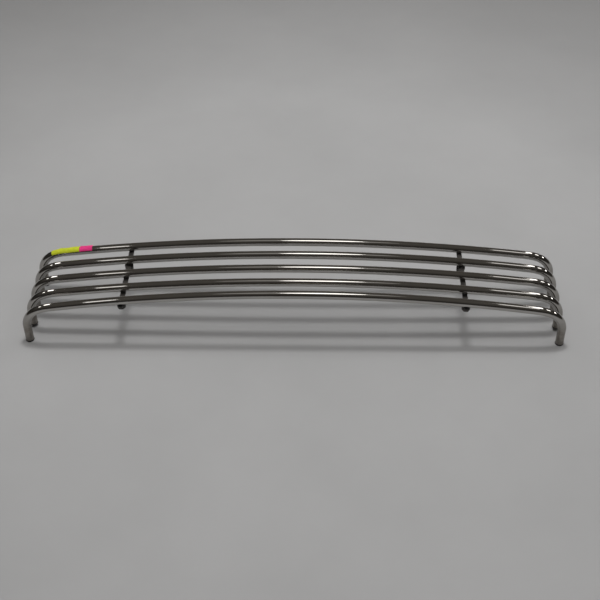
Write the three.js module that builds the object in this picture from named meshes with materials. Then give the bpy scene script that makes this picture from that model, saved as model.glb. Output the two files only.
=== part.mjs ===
// Front grille: five bowed round bars whose ends turn back into legs, held by two straps.
// Millimetres. +X across the grille, +Y from the lowest bar to the top one, +Z out of its face.
// The grille lies on the legs of its top and bottom bars, face up, on the plane Z = 0.
import * as THREE from 'three';

// ---- Driving dimensions ----------------------------------------------------------------

const GAP = 0.3; // clearance kept between touching pieces

const TUBE_OD = 19.05; // 3/4 inch tube
const TUBE_WALL = 1.65;
const TUBE_SIDES = 12;
const HALF_WIDTH = 609; // middle of the grille to a leg's centreline
const BAR_PITCH = 49.3;
const CORNER_RADIUS = 58.7; // centreline of the bend into a leg
const SHOULDER_Z = 98; // height at which every bow meets its corners
const BAR_BOWS = [36.5, 37.5, 37.5, 38, 38]; // rise of each bar's bow, top bar first
// The lowest bar also curves up towards the next one. It is `height` higher in the middle,
// follows a parabola aimed at `reach` as far as `ease`, and levels out from there.
const LOWEST_BAR_LIFT = { height: 6.8, reach: 560, ease: 535 };
const INNER_FOOT_Z = 6.5; // the legs of the three inner bars stop short of the ground
const BOW_STEPS = 12;
const CORNER_STEPS = 7;

const PLUG_HEAD = { radius: 9.9, height: 2.5, edge: 0.9 };
const PLUG_SPIGOT = { radius: 7.2, top: 16 };

const STRAP_X = 388;
const STRAP_WIDTH = 12;
const STRAP_THICKNESS = 3.2;
const STRAP_OVERHANG = 7; // beyond the outer bars' centrelines

const STUD_RADIUS = 5; // M10
const STUD_LENGTH = 12;
const STUD_OFFSET = { upper: 146, lower: 10 }; // above the lowest bar's centreline
const WASHER = { outer: 10, inner: 5.4, height: 1.8 };
const NUT = { acrossFlats: 17, inner: 5.4, height: 8 };

// Tape lies lengthwise on the top bar. Its edges are named by the angle round the bar, from
// the bar's face (0) towards its top (90); past `lift` it leaves the bar as a loose flap.
const TAPE = { thickness: 0.4, front: -60, lift: 30, flap: 8 };
const TAPE_SPANS = { green: [-573, -511], pink: [-509.5, -480] };

const BARS = BAR_BOWS.map((bow, index) => ({
  number: index + 1,
  bow,
  y: (2 - index) * BAR_PITCH,
  footZ: index === 0 || index === 4 ? 0 : INNER_FOOT_Z,
  lift: index === 4 ? LOWEST_BAR_LIFT : null,
}));
const TOP_BAR = BARS[0];
const LOWEST_BAR = BARS[4];
const SIDES = { left: -1, right: 1 };

// ---- Materials -------------------------------------------------------------------------

const paint = (name, color, metalness, roughness) =>
  new THREE.MeshStandardMaterial({ name, color, metalness, roughness });

const CHROME = paint('chrome', 0xc9c7c2, 1, 0.08);
const STRAP_PAINT = paint('strap_paint', 0x16161a, 0.2, 0.5);
const DARK_STEEL = paint('dark_steel', 0x2a2928, 0.8, 0.45);
const PLUG_PLASTIC = paint('plug_plastic', 0x1b1b1b, 0, 0.6);
const TAPE_GREEN = paint('tape_green', 0xc3d21c, 0, 0.55);
const TAPE_PINK = paint('tape_pink', 0xee3f8e, 0, 0.55);

// ---- Shared helpers --------------------------------------------------------------------

const grille = new THREE.Group();

function addPiece(name, geometry, material) {
  const mesh = new THREE.Mesh(geometry, material);
  mesh.name = name;
  grille.add(mesh);
  return mesh;
}

function circle(radius, sides) {
  return Array.from({ length: sides }, (_, i) => {
    const angle = (2 * Math.PI * i) / sides;
    return new THREE.Vector2(radius * Math.cos(angle), radius * Math.sin(angle));
  });
}

function ringShape(outer, inner, sides) {
  const shape = new THREE.Shape(circle(outer, sides));
  shape.holes.push(new THREE.Path(circle(inner, sides)));
  return shape;
}

// ---- A bar's centreline ----------------------------------------------------------------

// The bow is one arc that leaves the middle level and meets both corners at this slope.
function bowArc(bow) {
  let slope = 0;
  for (let pass = 0; pass < 30; pass += 1) {
    const reach = HALF_WIDTH - CORNER_RADIUS * (1 - Math.sin(slope));
    slope = 2 * Math.atan(bow / reach);
  }
  const reach = HALF_WIDTH - CORNER_RADIUS * (1 - Math.sin(slope));
  return { slope, radius: reach / Math.sin(slope) };
}

function liftAt(bar, x) {
  if (!bar.lift) return 0;
  const { height, reach, ease } = bar.lift;
  const distance = Math.abs(x);
  if (distance <= ease) return height * (1 - (distance / reach) ** 2);
  const levelAt = reach ** 2 / ease;
  const left = Math.max(0, levelAt - distance) / (levelAt - ease);
  return height * (1 - (ease / reach) ** 2) * left ** 2;
}

// A centreline point is named by the slope of the bar there: 0 in the middle, 90 degrees on
// the right leg, -90 degrees on the left one.
function barStation(bar, angle) {
  const { slope, radius } = bowArc(bar.bow);
  const onBow = Math.min(Math.max(angle, -slope), slope);
  const bowTopZ = SHOULDER_Z + bar.bow;
  const x = radius * Math.sin(onBow) + CORNER_RADIUS * (Math.sin(angle) - Math.sin(onBow));
  const z = bowTopZ - radius * (1 - Math.cos(onBow))
    - CORNER_RADIUS * (Math.cos(onBow) - Math.cos(angle));
  const climb = liftAt(bar, x + 0.5) - liftAt(bar, x - 0.5); // per millimetre across
  const tangent = new THREE.Vector3(Math.cos(angle), climb * Math.cos(angle), -Math.sin(angle));
  return {
    point: new THREE.Vector3(x, bar.y + liftAt(bar, x), z),
    tangent: tangent.normalize(),
  };
}

function angleAtX(bar, x) {
  const { slope, radius } = bowArc(bar.bow);
  const bowEnd = radius * Math.sin(slope);
  if (Math.abs(x) <= bowEnd) return Math.asin(x / radius);
  const beyond = (Math.abs(x) - bowEnd) / CORNER_RADIUS + Math.sin(slope);
  return Math.sign(x) * Math.asin(beyond);
}

function barZ(bar, x) {
  return barStation(bar, angleAtX(bar, x)).point.z;
}

// A path that puts one section at each station, however unevenly they are spaced.
class StationPath extends THREE.Curve {
  constructor(stations) {
    super();
    this.stations = stations;
  }

  stationAt(t) {
    return this.stations[Math.round(t * (this.stations.length - 1))];
  }

  getPointAt(t, target = new THREE.Vector3()) {
    return target.copy(this.stationAt(t).point);
  }

  getTangentAt(t, target = new THREE.Vector3()) {
    return target.copy(this.stationAt(t).tangent);
  }
}

function sweep(shape, stations) {
  return new THREE.ExtrudeGeometry(shape, {
    steps: stations.length - 1,
    extrudePath: new StationPath(stations),
  });
}

// ---- Bars and their plugs --------------------------------------------------------------

function tubeEndZ(bar) {
  return bar.footZ + PLUG_HEAD.height + GAP;
}

function barStations(bar) {
  const { slope } = bowArc(bar.bow);
  const angles = [];
  for (let i = 0; i < CORNER_STEPS; i += 1) {
    angles.push(-Math.PI / 2 + ((Math.PI / 2 - slope) * i) / CORNER_STEPS);
  }
  for (let i = 0; i <= BOW_STEPS; i += 1) {
    angles.push(slope * ((2 * i) / BOW_STEPS - 1));
  }
  for (let i = CORNER_STEPS - 1; i >= 0; i -= 1) {
    angles.push(Math.PI / 2 - ((Math.PI / 2 - slope) * i) / CORNER_STEPS);
  }
  const bent = angles.map((angle) => barStation(bar, angle));
  const legEnd = (side) => ({
    point: new THREE.Vector3(side * HALF_WIDTH, bar.y, tubeEndZ(bar)),
    tangent: new THREE.Vector3(0, 0, -side),
  });
  return [legEnd(SIDES.left), ...bent, legEnd(SIDES.right)];
}

function addBar(bar) {
  const section = ringShape(TUBE_OD / 2, TUBE_OD / 2 - TUBE_WALL, TUBE_SIDES);
  addPiece(`bar_${bar.number}`, sweep(section, barStations(bar)), CHROME);
}

// Half outline of a plug, standing on its head.
function plugProfile() {
  const { radius, height, edge } = PLUG_HEAD;
  return [
    [0, 0],
    [radius - edge, 0],
    [radius, edge],
    [radius, height],
    [PLUG_SPIGOT.radius, height],
    [PLUG_SPIGOT.radius, PLUG_SPIGOT.top],
    [0, PLUG_SPIGOT.top],
  ].map(([r, z]) => new THREE.Vector2(r, z));
}

function addPlug(bar, sideName) {
  const geometry = new THREE.LatheGeometry(plugProfile(), TUBE_SIDES).rotateX(Math.PI / 2);
  const plug = addPiece(`plug_${bar.number}_${sideName}`, geometry, PLUG_PLASTIC);
  plug.position.set(SIDES[sideName] * HALF_WIDTH, bar.y, bar.footZ);
}

// ---- Straps ----------------------------------------------------------------------------

const strapOuterX = STRAP_X + STRAP_WIDTH / 2;

// The strap's front clears the backs of all the bars.
const STRAP_FRONT_Z = Math.min(...BARS.map((bar) => barZ(bar, strapOuterX)))
  - TUBE_OD / 2 - GAP;
const STRAP_BACK_Z = STRAP_FRONT_Z - STRAP_THICKNESS;

// A flat bar of metal with half-round ends.
function strapOutline() {
  const radius = STRAP_WIDTH / 2;
  const endY = TOP_BAR.y + STRAP_OVERHANG - radius;
  const shape = new THREE.Shape();
  shape.absarc(0, endY, radius, 0, Math.PI);
  shape.absarc(0, -endY, radius, Math.PI, 2 * Math.PI);
  return shape;
}

function addStrap(sideName) {
  const geometry = new THREE.ExtrudeGeometry(strapOutline(), {
    depth: STRAP_THICKNESS,
    bevelEnabled: false,
    curveSegments: 8,
  });
  const strap = addPiece(`strap_${sideName}`, geometry, STRAP_PAINT);
  strap.position.set(SIDES[sideName] * STRAP_X, 0, STRAP_BACK_Z);
}

// ---- Studs, washers and nuts -----------------------------------------------------------

const HARDWARE_SIDES = 16;

function extrudeDown(shape, height) {
  return new THREE.ExtrudeGeometry(shape, { depth: height, bevelEnabled: false })
    .translate(0, 0, -height);
}

function nutShape() {
  const corner = NUT.acrossFlats / Math.sqrt(3);
  const shape = new THREE.Shape(circle(corner, 6));
  shape.holes.push(new THREE.Path(circle(NUT.inner, HARDWARE_SIDES)));
  return shape;
}

function addFixing(sideName, rowName) {
  const place = `${sideName}_${rowName}`;
  const x = SIDES[sideName] * STRAP_X;
  const y = LOWEST_BAR.y + STUD_OFFSET[rowName];
  const washerTopZ = STRAP_BACK_Z - GAP;
  const nutTopZ = washerTopZ - WASHER.height - GAP;
  const stud = new THREE.Shape(circle(STUD_RADIUS, HARDWARE_SIDES));
  const washer = ringShape(WASHER.outer, WASHER.inner, HARDWARE_SIDES);
  addPiece(`stud_${place}`, extrudeDown(stud, STUD_LENGTH), DARK_STEEL)
    .position.set(x, y, STRAP_BACK_Z - GAP);
  addPiece(`washer_${place}`, extrudeDown(washer, WASHER.height), DARK_STEEL)
    .position.set(x, y, washerTopZ);
  addPiece(`nut_${place}`, extrudeDown(nutShape(), NUT.height), DARK_STEEL)
    .position.set(x, y, nutTopZ);
}

// ---- Marker tape on the top bar --------------------------------------------------------

const TAPE_STEPS = 6;

// A sweep draws its section with X towards the bar's bottom and Y towards the bar's back.
function sectionPoint(radius, degrees) {
  const angle = THREE.MathUtils.degToRad(degrees);
  return new THREE.Vector2(-radius * Math.sin(angle), -radius * Math.cos(angle));
}

// One face of the tape: it follows the bar's flat sides, then runs straight on to its edge.
function tapeFace(radius) {
  const side = 360 / TUBE_SIDES;
  const points = [];
  for (let angle = TAPE.front; angle <= TAPE.lift; angle += side) {
    points.push(sectionPoint(radius, angle));
  }
  const liftAngle = THREE.MathUtils.degToRad(TAPE.lift);
  const along = new THREE.Vector2(-Math.cos(liftAngle), Math.sin(liftAngle));
  points.push(points.at(-1).clone().addScaledVector(along, TAPE.flap));
  return points;
}

function tapeShape() {
  const inner = TUBE_OD / 2 + GAP / Math.cos(Math.PI / TUBE_SIDES);
  return new THREE.Shape([...tapeFace(inner), ...tapeFace(inner + TAPE.thickness).reverse()]);
}

function addTape(name, material, [startX, endX]) {
  const start = angleAtX(TOP_BAR, startX);
  const end = angleAtX(TOP_BAR, endX);
  const stations = Array.from({ length: TAPE_STEPS + 1 }, (_, i) =>
    barStation(TOP_BAR, THREE.MathUtils.lerp(start, end, i / TAPE_STEPS)));
  addPiece(name, sweep(tapeShape(), stations), material);
}

// ---- Assembly --------------------------------------------------------------------------

for (const bar of BARS) {
  addBar(bar);
  for (const sideName of Object.keys(SIDES)) addPlug(bar, sideName);
}
for (const sideName of Object.keys(SIDES)) {
  addStrap(sideName);
  for (const rowName of Object.keys(STUD_OFFSET)) addFixing(sideName, rowName);
}
addTape('tape_green', TAPE_GREEN, TAPE_SPANS.green);
addTape('tape_pink', TAPE_PINK, TAPE_SPANS.pink);

export default grille;
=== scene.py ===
"""Front grille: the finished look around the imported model.

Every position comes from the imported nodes' boxes and from the named dimensions below.
Metres throughout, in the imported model's frame: +X across the grille, +Y from the lowest
bar to the top one, +Z out of its face. The grille lies face up on four of its feet.
"""
import math

import bmesh
import bpy
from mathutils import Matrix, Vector, noise


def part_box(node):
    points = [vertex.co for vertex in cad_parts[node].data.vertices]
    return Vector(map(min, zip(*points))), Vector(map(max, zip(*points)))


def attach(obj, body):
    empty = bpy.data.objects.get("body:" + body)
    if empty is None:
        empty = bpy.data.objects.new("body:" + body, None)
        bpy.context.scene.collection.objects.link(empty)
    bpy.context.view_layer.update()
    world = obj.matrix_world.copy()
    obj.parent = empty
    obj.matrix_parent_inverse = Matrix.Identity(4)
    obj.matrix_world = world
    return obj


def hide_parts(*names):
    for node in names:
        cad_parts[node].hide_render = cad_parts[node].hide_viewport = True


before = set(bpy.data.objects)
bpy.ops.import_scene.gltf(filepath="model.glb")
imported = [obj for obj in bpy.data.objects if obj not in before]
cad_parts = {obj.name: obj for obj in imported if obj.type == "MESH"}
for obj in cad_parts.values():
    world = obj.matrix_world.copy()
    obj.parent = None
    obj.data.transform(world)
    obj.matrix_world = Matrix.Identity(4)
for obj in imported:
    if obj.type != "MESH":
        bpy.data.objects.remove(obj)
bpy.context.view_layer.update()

# ---- Dimensions that the boxes don't give ------------------------------------------------

MM = 0.001

SHOULDER_Z = 98 * MM  # height at which every bow meets its corners
CORNER_RADIUS = 58.7 * MM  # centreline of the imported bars' bend into a leg
TIGHT_RADIUS = 53.5 * MM  # the same bend once it is fully tightened
EASE_LENGTH = 50 * MM  # bar length over which the bow tightens into the bend
BEND_STEP = 2 * MM
TUBE_RADIUS = 9.525 * MM  # 3/4 inch tube
TUBE_WALL = 1.65 * MM
TUBE_SIDES = 64
TUBE_RIM = 0.35 * MM  # rounding of a tube's cut end
CAD_GAP = 0.3 * MM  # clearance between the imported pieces

# The lowest bar also curves up towards the next one. It is LIFT_HEIGHT higher in the middle,
# follows a parabola aimed at LIFT_REACH as far as LIFT_EASE, and levels out from there.
LIFT_HEIGHT = 6.8 * MM
LIFT_REACH = 560 * MM
LIFT_EASE = 535 * MM

BOW_STEPS = 32
LEG_STEPS = 3

BAR_NUMBERS = range(1, 6)
SIDES = ("left", "right")
ROWS = ("upper", "lower")

STRAP_BEVEL = 0.7 * MM
STRAP_END_STEPS = 10  # in each quarter of the outline's rounded ends
STRAP_SIDE_STEPS = 24

WELD_OFFSET = 5.3 * MM  # of each bead from its bar's centreline
WELD_RISE = 0.7 * MM  # of a bead's middle above the strap
WELD_RADIUS = 1.75 * MM
WELD_SPAN = 0.86  # of the strap's width

THREAD_PITCH = 1.5 * MM
THREAD_DEPTH = 0.45 * MM
NUT_FLATS = 17 * MM
BORE_RADIUS = 5.4 * MM

TAPE_THICKNESS = 0.25 * MM
TAPE_FRONT = math.radians(-62)  # edge of the tape on the bar's face, 0 being the face
TAPE_LIFT = math.radians(27)  # where the tape leaves the bar, towards its top
TAPE_FLAP = 8.2 * MM


# ---- Mesh helpers ------------------------------------------------------------------------

def make_object(name, verts, faces, material, node_names):
    """A mesh object that stands for the named CAD nodes."""
    mesh = bpy.data.meshes.new(name)
    mesh.from_pydata([tuple(v) for v in verts], [], faces)
    mesh.validate()
    mesh.polygons.foreach_set("use_smooth", [True] * len(mesh.polygons))
    mesh.materials.append(material)
    obj = bpy.data.objects.new(name, mesh)
    bpy.context.scene.collection.objects.link(obj)
    fix_normals(mesh)
    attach(obj, "root")
    if node_names:
        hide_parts(*node_names)
    return obj


def fix_normals(mesh):
    """Merges doubled points and turns every face outwards."""
    bm = bmesh.new()
    bm.from_mesh(mesh)
    bmesh.ops.remove_doubles(bm, verts=bm.verts, dist=1e-7)
    bmesh.ops.recalc_face_normals(bm, faces=bm.faces)
    bm.to_mesh(mesh)
    bm.free()


def sharpen(obj, degrees):
    """Keeps creases sharper than this angle crisp under smooth shading."""
    mesh = obj.data
    bm = bmesh.new()
    bm.from_mesh(mesh)
    limit = math.radians(degrees)
    for edge in bm.edges:
        if len(edge.link_faces) == 2 and edge.calc_face_angle() > limit:
            edge.smooth = False
    bm.to_mesh(mesh)
    bm.free()


def ring_faces(rings, count, closed=False):
    """Quads between successive rings of count points; closed joins the last to the first."""
    faces = []
    last = rings if closed else rings - 1
    for i in range(last):
        a = i * count
        b = ((i + 1) % rings) * count
        for j in range(count):
            k = (j + 1) % count
            faces.append((a + j, a + k, b + k, b + j))
    return faces


def lathe(profile, sides, centre):
    """Turns a closed (radius, z) outline, or one that ends on the axis, about a vertical axis."""
    verts = []
    for radius, z in profile:
        for i in range(sides):
            angle = 2 * math.pi * i / sides
            verts.append(centre + Vector((radius * math.cos(angle), radius * math.sin(angle), z)))
    open_ended = profile[0][0] < 1e-9
    return verts, ring_faces(len(profile), sides, closed=not open_ended)


def arc_points(centre, radius, start, end, steps):
    """(r, z) points along an arc, angles in degrees."""
    points = []
    for i in range(steps + 1):
        angle = math.radians(start + (end - start) * i / steps)
        points.append((centre[0] + radius * math.cos(angle), centre[1] + radius * math.sin(angle)))
    return points


# ---- Bars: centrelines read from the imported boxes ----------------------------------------

def read_bar(number):
    """Tube radius, leg distance and half centreline of one bar, from its node's box."""
    low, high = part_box(f"bar_{number}")
    tube_radius = TUBE_RADIUS
    half_width = (high[0] - low[0]) / 2 - tube_radius
    top_z = high[2] - tube_radius
    bow_radius = find_bow_radius(half_width, top_z - SHOULDER_Z)
    return {
        "number": number,
        "radius": tube_radius,
        "y": low[1] + tube_radius,
        "lift": LIFT_HEIGHT if number == BAR_NUMBERS[-1] else 0.0,
        "end_z": low[2],
        "path": half_centreline(half_width, top_z, bow_radius),
    }


def find_bow_radius(half_width, bow):
    """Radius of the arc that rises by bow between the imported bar's two corners."""
    slope = 0.0
    for _ in range(40):
        reach = half_width - CORNER_RADIUS * (1 - math.sin(slope))
        slope = 2 * math.atan(bow / reach)
    return reach / math.sin(slope)


def bend_path(bow_radius, slope):
    """(x, z, slope) steps from the end of a bow down to where its leg is upright."""
    x = z = length = 0.0
    points = [(x, z, slope)]
    while slope < math.pi / 2 - 1e-9:
        tightness = min(1.0, length / EASE_LENGTH)
        curvature = (1 - tightness) / bow_radius + tightness / TIGHT_RADIUS
        step = min(BEND_STEP, (math.pi / 2 - slope) / curvature)
        middle = slope + curvature * step / 2
        x += step * math.cos(middle)
        z -= step * math.sin(middle)
        slope += curvature * step
        length += step
        points.append((x, z, slope))
    return points


def half_centreline(half_width, top_z, bow_radius):
    """(x, z, slope) from the middle of a bar to the top of its right leg."""
    bow_slope = 0.0
    for _ in range(30):
        bend = bend_path(bow_radius, bow_slope)
        bow_slope = math.asin((half_width - bend[-1][0]) / bow_radius)
    slopes = [bow_slope * i / BOW_STEPS for i in range(BOW_STEPS + 1)]
    bow = [(bow_radius * math.sin(a), top_z - bow_radius * (1 - math.cos(a)), a) for a in slopes]
    end_x, end_z, _ = bow[-1]
    return bow + [(end_x + x, end_z + z, slope) for x, z, slope in bend[1:]]


def lift_at(bar, distance):
    """How far the bar has curved up the grille, this far from its middle."""
    if distance <= LIFT_EASE:
        return bar["lift"] * (1 - (distance / LIFT_REACH) ** 2)
    level_at = LIFT_REACH ** 2 / LIFT_EASE
    left = max(0.0, level_at - distance) / (level_at - LIFT_EASE)
    return bar["lift"] * (1 - (LIFT_EASE / LIFT_REACH) ** 2) * left ** 2


def station(bar, place, side):
    """Centreline point and outward direction at one place of the half centreline."""
    x, z, slope = place
    outward = Vector((side * math.sin(slope), 0, math.cos(slope)))
    return Vector((side * x, bar["y"] + lift_at(bar, x), z)), outward


def station_at_x(bar, x):
    """The station at this distance across the grille."""
    for before, after in zip(bar["path"], bar["path"][1:]):
        if abs(x) <= after[0]:
            break
    t = (abs(x) - before[0]) / (after[0] - before[0])
    place = [start + (end - start) * t for start, end in zip(before, after)]
    return station(bar, place, math.copysign(1, x))


def around(centre, outward, radius, angle):
    """A point round the bar: angle 0 is its face, 90 degrees its top side."""
    return centre + radius * (math.cos(angle) * outward + math.sin(angle) * Vector((0, 1, 0)))


def bar_stations(bar):
    """Centreline stations from the left leg's end to the right leg's end."""
    left = [station(bar, place, -1) for place in reversed(bar["path"])]
    right = [station(bar, place, 1) for place in bar["path"][1:]]
    bent = left + right
    return leg_stations(bar, bent[0]) + bent + leg_stations(bar, bent[-1])[::-1]


def leg_stations(bar, shoulder):
    """Stations up a straight leg, from its end to just under the bend."""
    point, outward = shoulder
    end = Vector((point.x, point.y, bar["end_z"]))
    return [(end.lerp(point, i / LEG_STEPS), outward) for i in range(LEG_STEPS)]


def build_bar(bar, material):
    """A hollow tube: the outer wall, both cut ends with eased rims, and the inner wall."""
    stations = bar_stations(bar)
    outer = bar["radius"]
    inner = outer - TUBE_WALL
    first, last = stations[0], stations[-1]
    up = Vector((0, 0, TUBE_RIM))
    loops = [(first[0], first[1], outer - TUBE_RIM)]
    loops.append((first[0] + up, first[1], outer))
    loops += [(p, n, outer) for p, n in stations[1:-1]]
    loops.append((last[0] + up, last[1], outer))
    loops.append((last[0], last[1], outer - TUBE_RIM))
    loops.append((last[0], last[1], inner))
    loops += [(p, n, inner) for p, n in reversed(stations[1:-1])]
    loops.append((first[0], first[1], inner))
    verts = []
    for point, outward, radius in loops:
        for j in range(TUBE_SIDES):
            verts.append(around(point, outward, radius, 2 * math.pi * j / TUBE_SIDES))
    name = f"bar_{bar['number']}"
    obj = make_object(f"{name}_tube", verts, ring_faces(len(loops), TUBE_SIDES, closed=True),
                      material, [name])
    sharpen(obj, 35)
    return obj


# ---- Plugs in the legs' ends ------------------------------------------------------------

def plug_profile(head_radius, head_height, spigot_radius, top):
    """Half outline of a plug on its head: a pad with a moulding dimple, a collar, three ribs."""
    edge = 0.9 * MM
    dimple = 2.2 * MM
    depth = 0.45 * MM
    profile = [(0, depth), (dimple * 0.55, depth)]
    profile += [(dimple * 0.8, depth * 0.4), (dimple, 0.0)]
    profile += arc_points((head_radius - edge, edge), edge, -90, 0, 6)
    profile += arc_points((head_radius - 0.4 * MM, head_height - 0.4 * MM), 0.4 * MM, 0, 90, 4)
    neck = spigot_radius - 0.8 * MM
    profile.append((neck, head_height))
    rib_pitch = (top - head_height) / 4
    for rib in range(3):
        middle = head_height + rib_pitch * (rib + 1)
        profile.append((neck, middle - 0.9 * MM))
        profile.append((spigot_radius, middle - 0.2 * MM))
        profile.append((spigot_radius, middle + 0.2 * MM))
        profile.append((neck, middle + 0.7 * MM))
    profile += [(neck, top - 0.6 * MM), (neck - 0.6 * MM, top), (0, top)]
    return profile


def build_plug(bar, side, material):
    """An end plug, in place of its plain node."""
    name = f"plug_{bar['number']}_{side}"
    low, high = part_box(name)
    centre = Vector(((low[0] + high[0]) / 2, (low[1] + high[1]) / 2, low[2]))
    head_radius = (high[1] - low[1]) / 2
    head_height = bar["end_z"] - low[2] - CAD_GAP
    spigot_radius = bar["radius"] - TUBE_WALL - CAD_GAP
    profile = plug_profile(head_radius, head_height, spigot_radius, high[2] - low[2])
    verts, faces = lathe(profile, 48, centre)
    obj = make_object(f"{name}_moulding", verts, faces, material, [name])
    sharpen(obj, 40)
    return obj


# ---- Straps ------------------------------------------------------------------------------

def stadium(half_width, half_length, inset):
    """Right-hand half outline of a bar with half-round ends, bottom to top."""
    end = half_length - half_width
    radius = half_width - inset
    points = []
    for i in range(STRAP_END_STEPS + 1):
        angle = math.radians(-90 + 90 * i / STRAP_END_STEPS)
        points.append((radius * math.cos(angle), -end + radius * math.sin(angle)))
    for i in range(1, STRAP_SIDE_STEPS):
        points.append((radius, -end + 2 * end * i / STRAP_SIDE_STEPS))
    for i in range(STRAP_END_STEPS + 1):
        angle = math.radians(90 * i / STRAP_END_STEPS)
        points.append((radius * math.cos(angle), end + radius * math.sin(angle)))
    return points


def strap_rings(thickness):
    """(inset, depth) of each outline down the strap's rounded edge, front to back."""
    rings = []
    for i in range(4):
        angle = math.radians(30 * i)
        rings.append((STRAP_BEVEL * (1 - math.sin(angle)), STRAP_BEVEL * (1 - math.cos(angle))))
    rings += [(inset, thickness - depth) for inset, depth in reversed(rings)]
    return rings


def build_strap(side, material):
    """A flat bar with half-round ends and rounded edges."""
    name = f"strap_{side}"
    low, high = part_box(name)
    middle_x = (low[0] + high[0]) / 2
    half_width = (high[0] - low[0]) / 2
    half_length = (high[1] - low[1]) / 2
    middle_y = (low[1] + high[1]) / 2
    verts = []
    rings = strap_rings(high[2] - low[2])
    for inset, depth in rings:
        right = stadium(half_width, half_length, inset)
        left = [(-x, y) for x, y in reversed(right[1:-1])]
        for x, y in right + left:
            verts.append((middle_x + x, middle_y + y, high[2] - depth))
    half = len(right)
    count = half + len(left)
    faces = ring_faces(len(rings), count)
    for base in (0, (len(rings) - 1) * count):
        faces += strap_cap(base, half, count)
    obj = make_object(f"{name}_bar", verts, faces, material, [name])
    sharpen(obj, 40)
    mark_edges(obj, [i for i in range(len(verts)) if 1 <= i // count <= 2])
    return obj


def strap_cap(base, half, count):
    """Faces across the strap between its right and left outlines."""
    faces = []
    for i in range(half - 1):
        left_a = base + (count - i) % count
        left_b = base + (count - i - 1) % count
        corners = [base + i, base + i + 1, left_b, left_a]
        unique = list(dict.fromkeys(corners))
        if len(unique) > 2:
            faces.append(tuple(unique))
    return faces


def mark_edges(obj, worn):
    """Stores where paint wears first, as a point attribute that the paint reads."""
    layer = obj.data.attributes.new("wear", "FLOAT", "POINT")
    values = [0.0] * len(obj.data.vertices)
    for index in worn:
        if index < len(values):
            values[index] = 1.0
    layer.data.foreach_set("value", values)


def build_welds(side, bars, material):
    """Short beads on both sides of every bar where the strap crosses behind it."""
    low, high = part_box(f"strap_{side}")
    middle_x = (low[0] + high[0]) / 2
    length = (high[0] - low[0]) * WELD_SPAN
    for bar in bars:
        bar_y = bar["y"] + lift_at(bar, abs(middle_x))
        for edge in (-1, 1):
            centre = Vector((middle_x, bar_y + edge * WELD_OFFSET, high[2] + WELD_RISE))
            side_name = "top" if edge > 0 else "bottom"
            build_weld(f"weld_{side}_{bar['number']}_{side_name}", centre, length, edge, material)


def build_weld(name, centre, length, edge, material):
    """One bead: a run of overlapping ripples, tapering at both ends."""
    steps = 36
    around_count = 16
    verts = []
    for i in range(steps + 1):
        t = i / steps
        x = (t - 0.5) * length
        taper = math.sqrt(max(0.0, 1 - (2 * t - 1) ** 6))
        ripple = 1 + 0.09 * math.cos(2 * math.pi * 6 * t)
        wobble = 1 + 0.12 * noise.noise(Vector((x * 400, centre.y * 90, edge)))
        radius = WELD_RADIUS * max(taper, 0.02) * ripple * wobble
        for j in range(around_count):
            angle = 2 * math.pi * j / around_count
            offset = Vector((x, 1.15 * radius * math.cos(angle), 0.85 * radius * math.sin(angle)))
            verts.append(centre + offset)
    faces = ring_faces(steps + 1, around_count)
    faces.append(tuple(range(around_count)))
    faces.append(tuple(steps * around_count + j for j in range(around_count)))
    return make_object(name, verts, faces, material, [])


# ---- Studs, washers and nuts -------------------------------------------------------------

def node_centre(name):
    """Middle of a node's box across and along, at its lowest level, with its height."""
    low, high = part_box(name)
    return Vector(((low[0] + high[0]) / 2, (low[1] + high[1]) / 2, low[2])), high[2] - low[2]


def build_stud(place, material):
    """A threaded stud with a chamfered end."""
    name = f"stud_{place}"
    base, height = node_centre(name)
    low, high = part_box(name)
    outer = (high[0] - low[0]) / 2
    sides = 40
    rows = int(height / THREAD_PITCH * 10)
    chamfer = 0.8 * MM
    verts = []
    for i in range(rows + 1):
        z = height * i / rows
        for j in range(sides):
            turn = j / sides
            phase = (z / THREAD_PITCH - turn) % 1.0
            crest = abs(2 * phase - 1)
            thread = THREAD_DEPTH * (1 - min(1.0, max(0.0, 1.25 * crest - 0.1)))
            radius = outer - thread
            radius = min(radius, outer - max(0.0, chamfer - z))
            angle = 2 * math.pi * turn
            verts.append(base + Vector((radius * math.cos(angle), radius * math.sin(angle), z)))
    faces = ring_faces(rows + 1, sides)
    faces.append(tuple(range(sides)))
    faces.append(tuple(rows * sides + j for j in range(sides)))
    obj = make_object(f"{name}_thread", verts, faces, material, [name])
    sharpen(obj, 50)
    return obj


def build_washer(place, material):
    """A punched washer: one edge rolled over, the other sharp."""
    name = f"washer_{place}"
    base, height = node_centre(name)
    low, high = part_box(name)
    outer = (high[0] - low[0]) / 2
    roll = 0.45 * MM
    profile = [(BORE_RADIUS, 0.2 * MM), (BORE_RADIUS + 0.2 * MM, 0.0)]
    profile += arc_points((outer - roll, roll), roll, -90, 0, 5)
    profile += [(outer, height - 0.1 * MM), (outer - 0.1 * MM, height)]
    profile += [(BORE_RADIUS + 0.1 * MM, height), (BORE_RADIUS, height - 0.1 * MM)]
    verts, faces = lathe(profile, 64, base)
    obj = make_object(f"{name}_ring", verts, faces, material, [name])
    sharpen(obj, 35)
    return obj


def hexagon_radius(angle):
    """Distance from a nut's axis to its side, flats facing along Y as in the node."""
    sector = (angle % (math.pi / 3)) - math.pi / 6
    return NUT_FLATS / 2 / math.cos(sector)


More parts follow.
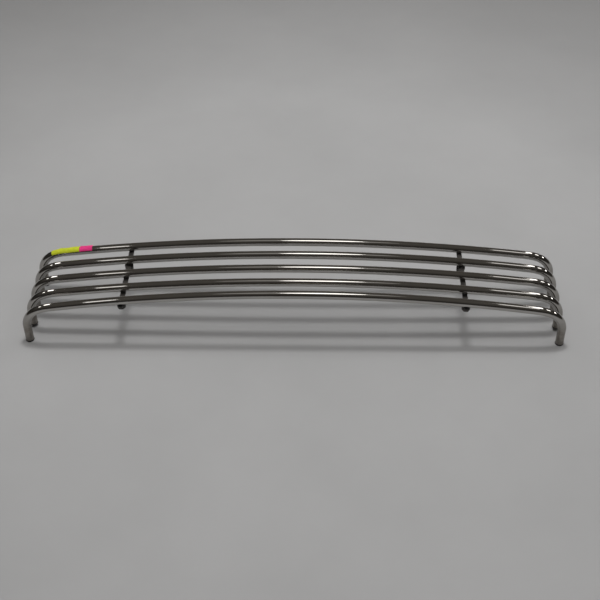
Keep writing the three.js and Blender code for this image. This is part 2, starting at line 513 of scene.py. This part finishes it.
def nut_loops(height):
    """(radius at angle, z at angle) of each loop from the bore, over the face, and back."""
    chamfer_radius = NUT_FLATS / 2 * 0.96
    slope = math.tan(math.radians(30))

    def drop(angle):
        return (hexagon_radius(angle) - chamfer_radius) * slope

    return [
        (lambda a: BORE_RADIUS - 0.5 * MM, lambda a: 0.6 * MM),
        (lambda a: BORE_RADIUS + 0.2 * MM, lambda a: 0.0),
        (lambda a: chamfer_radius, lambda a: 0.0),
        (hexagon_radius, drop),
        (hexagon_radius, lambda a: height - drop(a)),
        (lambda a: chamfer_radius, lambda a: height),
        (lambda a: BORE_RADIUS + 0.2 * MM, lambda a: height),
        (lambda a: BORE_RADIUS - 0.5 * MM, lambda a: height - 0.6 * MM),
    ]


def build_nut(place, material):
    """A hexagon nut with turned chamfers and a countersunk bore."""
    name = f"nut_{place}"
    base, height = node_centre(name)
    sides = 96
    loops = nut_loops(height)
    verts = []
    for radius_at, z_at in loops:
        for j in range(sides):
            angle = 2 * math.pi * j / sides
            radius = radius_at(angle)
            x = radius * math.cos(angle)
            y = radius * math.sin(angle)
            verts.append(base + Vector((x, y, z_at(angle))))
    obj = make_object(f"{name}_hexagon", verts, ring_faces(len(loops), sides, closed=True),
                      material, [name])
    sharpen(obj, 20)
    return obj


# ---- Marker tape -------------------------------------------------------------------------

def tape_section(bar, point, outward, t, lift_amount, clearance):
    """A point across the tape: t runs from its front edge to its loose edge."""
    radius = bar["radius"] + clearance
    stuck = radius * (TAPE_LIFT - TAPE_FRONT)
    travel = t * (stuck + TAPE_FLAP)
    if travel <= stuck:
        return around(point, outward, radius, TAPE_FRONT + travel / radius)
    loose = travel - stuck
    start = around(point, outward, radius, TAPE_LIFT)
    straight = math.cos(TAPE_LIFT) * Vector((0, 1, 0)) - math.sin(TAPE_LIFT) * outward
    on_bar = around(point, outward, radius, TAPE_LIFT + loose / radius)
    return on_bar.lerp(start + loose * straight, lift_amount)


def build_tape(name, bar, material, lifts, folds):
    """A strip laid lengthwise on the bar; lifts gives how far its rear edge stands off."""
    low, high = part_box(name)
    steps = 90
    across = 26
    outside = []
    inside = []
    for i in range(steps + 1):
        s = i / steps
        x = low[0] + (high[0] - low[0]) * s
        point, outward = station_at_x(bar, x)
        lift = sample_curve(lifts, s)
        for j in range(across + 1):
            t = j / across
            crease = 0.28 * MM * abs(noise.noise(Vector((x * 260, t * 2.2, bar["y"]))))
            crease += 0.16 * MM * abs(noise.noise(Vector((x * 900, t * 9, 3.1))))
            crease += sum(fold_height(fold, s, t) for fold in folds)
            clearance = 0.12 * MM + crease
            outside.append(tape_section(bar, point, outward, t, lift, clearance + TAPE_THICKNESS))
            inside.append(tape_section(bar, point, outward, t, lift, clearance))
    verts = outside + inside
    faces = sheet_faces(steps, across)
    obj = make_object(f"{name}_strip", verts, faces, material, [name])
    sharpen(obj, 55)
    return obj


def smooth_step(t):
    """0 to 1 with level ends."""
    t = min(max(t, 0.0), 1.0)
    return t * t * (3 - 2 * t)


def sample_curve(points, s):
    """Smooth interpolation through (place, value) points."""
    for (s0, v0), (s1, v1) in zip(points, points[1:]):
        if s <= s1:
            return v0 + (v1 - v0) * smooth_step((s - s0) / (s1 - s0))
    return points[-1][1]


def fold_height(fold, s, t):
    """Height of a fold across the tape: (place, slant, width, height)."""
    place, slant, width, height = fold
    distance = (s - place - slant * (t - 0.5)) / width
    return height * math.exp(-distance * distance)


def sheet_faces(steps, across):
    """Both faces and the rim of a thin sheet whose outer grid comes first."""
    row = across + 1
    back = (steps + 1) * row
    faces = []
    for i in range(steps):
        for j in range(across):
            a = i * row + j
            faces.append((a, a + 1, a + row + 1, a + row))
            faces.append((back + a, back + a + row, back + a + row + 1, back + a + 1))
    for i in range(steps):
        for j in (0, across):
            a = i * row + j
            faces.append((a, a + row, back + a + row, back + a))
    for j in range(across):
        for i in (0, steps):
            a = i * row + j
            faces.append((a, a + 1, back + a + 1, back + a))
    return faces


# ---- Materials ---------------------------------------------------------------------------

class Shader:
    """A small helper for node materials in object coordinates (metres)."""

    def __init__(self, name):
        self.material = bpy.data.materials.new(name)
        self.material.use_nodes = True
        self.nodes = self.material.node_tree.nodes
        self.links = self.material.node_tree.links
        self.bsdf = self.nodes["Principled BSDF"]
        self.place = self.nodes.new("ShaderNodeTexCoord").outputs["Object"]

    def constant(self, **values):
        for socket, value in values.items():
            self.bsdf.inputs[socket.replace("_", " ")].default_value = value

    def distance(self, near, far):
        """0 up to the near distance from the middle of the scene, 1 beyond the far one."""
        node = self.nodes.new("ShaderNodeVectorMath")
        node.operation = "LENGTH"
        self.links.new(self.place, node.inputs[0])
        return self.remap(node.outputs["Value"], near, far)

    def height(self):
        """Height above the floor."""
        node = self.nodes.new("ShaderNodeSeparateXYZ")
        self.links.new(self.place, node.inputs["Vector"])
        return node.outputs["Z"]

    def stretched(self, x, y, z):
        """The object coordinates scaled by a factor along each axis."""
        node = self.nodes.new("ShaderNodeMapping")
        node.inputs["Scale"].default_value = (x, y, z)
        self.links.new(self.place, node.inputs["Vector"])
        return node.outputs["Vector"]

    def noise(self, scale, detail=4.0, rough=0.55, vector=None):
        node = self.nodes.new("ShaderNodeTexNoise")
        node.inputs["Scale"].default_value = scale
        node.inputs["Detail"].default_value = detail
        node.inputs["Roughness"].default_value = rough
        self.links.new(vector or self.place, node.inputs["Vector"])
        return node.outputs["Fac"]

    def spots(self, scale, vector=None):
        node = self.nodes.new("ShaderNodeTexVoronoi")
        node.inputs["Scale"].default_value = scale
        self.links.new(vector or self.place, node.inputs["Vector"])
        return node.outputs["Distance"]

    def attribute(self, name):
        node = self.nodes.new("ShaderNodeAttribute")
        node.attribute_name = name
        return node.outputs["Fac"]

    def remap(self, value, low, high, to_low=0.0, to_high=1.0):
        node = self.nodes.new("ShaderNodeMapRange")
        for socket, number in zip(("From Min", "From Max", "To Min", "To Max"),
                                  (low, high, to_low, to_high)):
            node.inputs[socket].default_value = number
        self.links.new(value, node.inputs["Value"])
        return node.outputs["Result"]

    def math(self, operation, a, b):
        node = self.nodes.new("ShaderNodeMath")
        node.operation = operation
        for socket, value in zip(node.inputs, (a, b)):
            if isinstance(value, (int, float)):
                socket.default_value = value
            else:
                self.links.new(value, socket)
        return node.outputs[0]

    def mix(self, factor, a, b):
        node = self.nodes.new("ShaderNodeMix")
        node.data_type = "RGBA"
        self.links.new(factor, node.inputs["Factor"])
        for socket, value in ((node.inputs[6], a), (node.inputs[7], b)):
            if isinstance(value, tuple):
                socket.default_value = (*value, 1.0)
            else:
                self.links.new(value, socket)
        return node.outputs[2]

    def bump(self, height, distance, strength=1.0, normal=None):
        node = self.nodes.new("ShaderNodeBump")
        node.inputs["Distance"].default_value = distance
        node.inputs["Strength"].default_value = strength
        self.links.new(height, node.inputs["Height"])
        if normal is not None:
            self.links.new(normal, node.inputs["Normal"])
        return node.outputs["Normal"]

    def connect(self, socket, value):
        self.links.new(value, self.bsdf.inputs[socket])


def chrome_material():
    """Bright plating: smudges, hair scratches, orange peel; grime and painted shade low on the legs."""
    shader = Shader("chrome_plate")
    shader.constant(Metallic=1.0)
    cloud = shader.noise(14, 5)
    smudge = shader.noise(75, 6, 0.65)
    scratch = shader.noise(1, 3, 0.5, shader.stretched(60, 2600, 2600))
    tone = shader.mix(shader.remap(cloud, 0.35, 0.65), (0.50, 0.487, 0.465), (0.45, 0.437, 0.415))
    film = shader.remap(smudge, 0.55, 0.78, 0.0, 0.35)
    plating = shader.mix(film, tone, (0.39, 0.375, 0.35))
    # The legs' base colour darkens towards the floor: partly grime, partly painted shade standing in
    # for the darker reflections on the legs.
    low = shader.remap(shader.height(), 0.085, 0.035)
    grime = shader.math("MULTIPLY", low, shader.remap(smudge, 0.25, 0.6, 0.55, 1.0))
    shader.connect("Base Color", shader.mix(grime, plating, (0.235, 0.215, 0.19)))
    hair = shader.remap(scratch, 0.62, 0.72, 0.0, 0.04)
    base = shader.math("ADD", shader.remap(smudge, 0.3, 0.75, 0.02, 0.06), hair)
    shader.connect("Roughness", shader.math("ADD", base, shader.math("MULTIPLY", grime, 0.16)))
    peel = shader.bump(shader.noise(38, 2), 0.00006)
    shader.connect("Normal", shader.bump(scratch, 0.000004, 1.0, peel))
    return shader.material


def strap_material():
    """Satin black paint with a fine peel, rubbed grey on its edges."""
    shader = Shader("strap_black_paint")
    shader.constant(IOR=1.5)
    cloud = shader.noise(60, 5)
    chips = shader.remap(shader.noise(420, 5), 0.5, 0.62)
    worn = shader.math("MULTIPLY", shader.attribute("wear"), chips)
    paint = shader.mix(shader.remap(cloud, 0.35, 0.7), (0.022, 0.021, 0.021), (0.048, 0.045, 0.042))
    shader.connect("Base Color", shader.mix(worn, paint, (0.12, 0.11, 0.10)))
    shader.connect("Roughness", shader.remap(cloud, 0.3, 0.7, 0.32, 0.52))
    shader.connect("Normal", shader.bump(shader.noise(900, 3), 0.00008))
    return shader.material


def steel_material():
    """Blackened hardware: patchy oxide with brighter rubbed spots and a trace of rust."""
    shader = Shader("blackened_steel")
    shader.constant(Metallic=0.85)
    patch = shader.noise(240, 6, 0.6)
    rust = shader.remap(shader.noise(130, 5), 0.6, 0.75)
    oxide = shader.mix(shader.remap(patch, 0.35, 0.7), (0.035, 0.033, 0.031), (0.11, 0.105, 0.10))
    shader.connect("Base Color", shader.mix(rust, oxide, (0.11, 0.055, 0.03)))
    shader.connect("Roughness", shader.remap(patch, 0.3, 0.7, 0.55, 0.36))
    shader.connect("Normal", shader.bump(shader.noise(1500, 4), 0.00006))
    return shader.material


def plug_material():
    """Moulded black plastic, scuffed lighter in places."""
    shader = Shader("moulded_black_plastic")
    shader.constant(IOR=1.48)
    scuff = shader.remap(shader.noise(320, 6, 0.7), 0.55, 0.7)
    shader.connect("Base Color", shader.mix(scuff, (0.012, 0.012, 0.012), (0.045, 0.043, 0.04)))
    shader.connect("Roughness", shader.remap(shader.noise(90, 4), 0.3, 0.7, 0.45, 0.68))
    shader.connect("Normal", shader.bump(shader.noise(2200, 3), 0.00005))
    return shader.material


def tape_material(name, bright, deep):
    """Fluorescent paper tape: uneven dye, crepe ridges across it, grubby patches."""
    shader = Shader(name)
    shader.constant(IOR=1.45)
    dye = shader.noise(55, 5)
    grime = shader.remap(shader.noise(160, 6, 0.65), 0.62, 0.8, 0.0, 0.35)
    colour = shader.mix(shader.remap(dye, 0.35, 0.65), bright, deep)
    shader.connect("Base Color", shader.mix(grime, colour, tuple(c * 0.55 for c in deep)))
    shader.connect("Roughness", shader.remap(dye, 0.3, 0.7, 0.5, 0.7))
    ridges = shader.noise(1, 3, 0.5, shader.stretched(1500, 220, 220))
    shader.connect("Normal", shader.bump(ridges, 0.0001))
    return shader.material


def floor_material():
    """A pale matt surface with a barely mottled tone, painted dark away from the grille: a painted pool
    of light.
    """
    shader = Shader("pale_floor")
    cloud = shader.noise(2.2, 5)
    fleck = shader.noise(160, 3)
    tone = shader.mix(shader.remap(cloud, 0.35, 0.65), (0.365, 0.37, 0.378), (0.34, 0.345, 0.352))
    faint = shader.remap(fleck, 0.4, 0.7, 0.0, 0.25)
    pale = shader.mix(faint, tone, (0.35, 0.355, 0.36))
    # Painted falloff: the floor's colour goes dark away from the middle, a painted pool of light that
    # also gives the chrome dark reflections at its sides.
    far = shader.distance(PAINTED_POOL_RADIUS, 3 * PAINTED_POOL_RADIUS)
    shader.connect("Base Color", shader.mix(far, pale, (0.13, 0.13, 0.13)))
    shader.connect("Roughness", shader.remap(cloud, 0.3, 0.7, 0.75, 0.9))
    return shader.material


# ---- Floor, light and camera -------------------------------------------------------------

FLOOR_HALF = 7.0
PAINTED_POOL_RADIUS = 0.95  # the floor is painted darker beyond this distance: a painted pool of light round the grille


def build_floor(material):
    """One large level sheet under the feet."""
    mesh = bpy.data.meshes.new("floor")
    corners = [(-1, -1), (1, -1), (1, 1), (-1, 1)]
    mesh.from_pydata([(x * FLOOR_HALF, y * FLOOR_HALF, 0) for x, y in corners], [], [(0, 1, 2, 3)])
    mesh.materials.append(material)
    obj = bpy.data.objects.new("floor", mesh)
    bpy.context.scene.collection.objects.link(obj)


PANEL_HEIGHT = 4.0
PANEL_WARM = (1.0, 0.98, 0.96)
GLOW_RISE = 0.05  # keeps the wide dim panel behind the bright one it surrounds
PANELS = {  # place across and along, width, length, turn in degrees, brightness
    "middle": (0.17, -0.35, 0.74, 1.9, -8, 2.2),
    "middle_glow": (0.05, -0.35, 1.7, 2.5, -8, 0.22),
    "left": (-1.91, -1.5, 0.30, 1.8, -4, 1.5),
    "right": (2.07, 0.2, 0.56, 1.8, 0, 1.0),
    "rear_left": (-3.35, 3.4, 0.70, 4.0, 12, 3.6),
    "rear_right": (2.83, 3.3, 0.62, 4.4, -9, 3.6),
    "outer_left": (-4.15, 0.7, 0.60, 1.6, 0, 3.0),
    "outer_right": (3.95, 1.1, 1.00, 1.8, 0, 3.2),
    "far_right": (7.5, 1.5, 1.70, 3.4, 0, 4.5),
}
FILL_RISE = 0.3  # above the panels
FILL_SIZE = 3.5
FILL_BRIGHTNESS = 2.3
KEY_PLACE = (0.1, 0.75)
KEY_SIZE = (0.75, 0.4)
KEY_BRIGHTNESS = 62
ROOM_TINT = (1.08, 1.0, 0.90)
ROOM_GREYS = [(0.0, 0.06), (0.12, 0.035), (0.35, 0.025), (0.6, 0.06), (1.0, 0.09)]
WALL_GREYS = [(0.0, 0.22), (0.4, 0.18), (0.6, 0.14), (0.8, 0.10), (1.0, 0.09)]
WALL_FADE = (0.80, 0.97)  # how squarely a direction faces rearwards where the wall fades in


def add_panel(name, centre, width, length, turn, brightness):
    """A soft ceiling panel facing down, unseen by the camera."""
    data = bpy.data.lights.new(name, "AREA")
    data.shape = "ELLIPSE" if name.startswith("panel_middle") else "RECTANGLE"
    data.size = width
    data.size_y = length
    data.energy = brightness * math.pi * width * length
    data.color = PANEL_WARM
    obj = bpy.data.objects.new(name, data)
    obj.location = centre
    obj.rotation_euler = (0, 0, math.radians(turn))
    obj.visible_camera = False
    bpy.context.scene.collection.objects.link(obj)
    return obj


def add_lights():
    """Rows of ceiling panels that show in the chrome, and a key and a fill that don't."""
    for name, (x, y, width, length, turn, brightness) in PANELS.items():
        height = PANEL_HEIGHT + (GLOW_RISE if name == "middle_glow" else 0)
        add_panel(f"panel_{name}", (x, y, height), width, length, turn, brightness)
    fill = add_panel("fill", (0, 0, PANEL_HEIGHT + FILL_RISE), FILL_SIZE, FILL_SIZE, 0, FILL_BRIGHTNESS)
    key = add_panel("key", (*KEY_PLACE, PANEL_HEIGHT), *KEY_SIZE, 0, KEY_BRIGHTNESS)
    for light in (fill, key):
        light.visible_glossy = False


def gradient(nodes, links, value, stops):
    """A grey ramp over value: (position, grey) stops."""
    ramp = nodes.new("ShaderNodeValToRGB")
    elements = ramp.color_ramp.elements
    while len(elements) < len(stops):
        elements.new(0.5)
    for element, (position, grey) in zip(elements, stops):
        element.position = position
        element.color = (*(grey * part for part in ROOM_TINT), 1)
    links.new(value, ramp.inputs["Fac"])
    return ramp.outputs["Color"]


def add_world():
    """A plain surround: a paler wall behind, and a dark room with a dim ceiling elsewhere."""
    world = bpy.data.worlds.new("studio")
    bpy.context.scene.world = world
    world.use_nodes = True
    nodes = world.node_tree.nodes
    links = world.node_tree.links
    place = nodes.new("ShaderNodeTexCoord")
    split = nodes.new("ShaderNodeSeparateXYZ")
    links.new(place.outputs["Generated"], split.inputs["Vector"])
    behind = nodes.new("ShaderNodeMapRange")
    behind.inputs["From Min"].default_value = WALL_FADE[0]
    behind.inputs["From Max"].default_value = WALL_FADE[1]
    links.new(split.outputs["Y"], behind.inputs["Value"])
    room = gradient(nodes, links, split.outputs["Z"], ROOM_GREYS)
    wall = gradient(nodes, links, split.outputs["Z"], WALL_GREYS)
    mix = nodes.new("ShaderNodeMix")
    mix.data_type = "RGBA"
    links.new(behind.outputs["Result"], mix.inputs["Factor"])
    links.new(room, mix.inputs[6])
    links.new(wall, mix.inputs[7])
    links.new(mix.outputs[2], nodes["Background"].inputs["Color"])


CAMERA_PLACE = Vector((0.0605, -1.9659, 1.7723))
CAMERA_FORWARD = Vector((-0.0180, 0.7501, -0.6611))
CAMERA_UP = Vector((-0.0070, 0.6611, 0.7503))
CAMERA_LENS = 67.04


def add_camera():
    """The camera at the reference viewing angle."""
    data = bpy.data.cameras.new("camera")
    data.lens = CAMERA_LENS
    data.sensor_width = 36
    data.clip_end = 60
    obj = bpy.data.objects.new("camera", data)
    back = -CAMERA_FORWARD.normalized()
    right = CAMERA_UP.cross(back).normalized()
    up = back.cross(right)
    matrix = obj.matrix_world.copy()
    for column, axis in enumerate((right, up, back, CAMERA_PLACE)):
        for row in range(3):
            matrix[row][column] = axis[row]
    obj.matrix_world = matrix
    bpy.context.scene.collection.objects.link(obj)
    bpy.context.scene.camera = obj


# ---- Assembly ----------------------------------------------------------------------------

def build_grille():
    """Every piece of the grille, in place of its plain node."""
    chrome = chrome_material()
    paint = strap_material()
    steel = steel_material()
    plastic = plug_material()
    bars = [read_bar(number) for number in BAR_NUMBERS]
    for bar in bars:
        build_bar(bar, chrome)
        for side in SIDES:
            build_plug(bar, side, plastic)
    for side in SIDES:
        build_strap(side, paint)
        build_welds(side, bars, paint)
        for row in ROWS:
            place = f"{side}_{row}"
            build_stud(place, steel)
            build_washer(place, steel)
            build_nut(place, steel)
    build_tapes(bars[0])


def build_tapes(bar):
    """The two marker strips at the left end of the top bar."""
    green = tape_material("marker_tape_green", (0.56, 0.60, 0.03), (0.42, 0.50, 0.015))
    pink = tape_material("marker_tape_pink", (0.80, 0.045, 0.24), (0.62, 0.03, 0.18))
    build_tape("tape_green", bar, green,
               [(0.0, 0.0), (0.16, 0.05), (0.26, 0.8), (0.42, 0.35), (0.75, 0.95), (1.0, 1.0)],
               [(0.27, 0.10, 0.035, 0.9 * MM)])
    build_tape("tape_pink", bar, pink,
               [(0.0, 1.0), (0.5, 0.9), (1.0, 1.0)],
               [(0.62, -0.06, 0.03, 0.35 * MM)])


bpy.context.scene.view_settings.view_transform = "Standard"
build_grille()
build_floor(floor_material())
add_lights()
add_world()
add_camera()
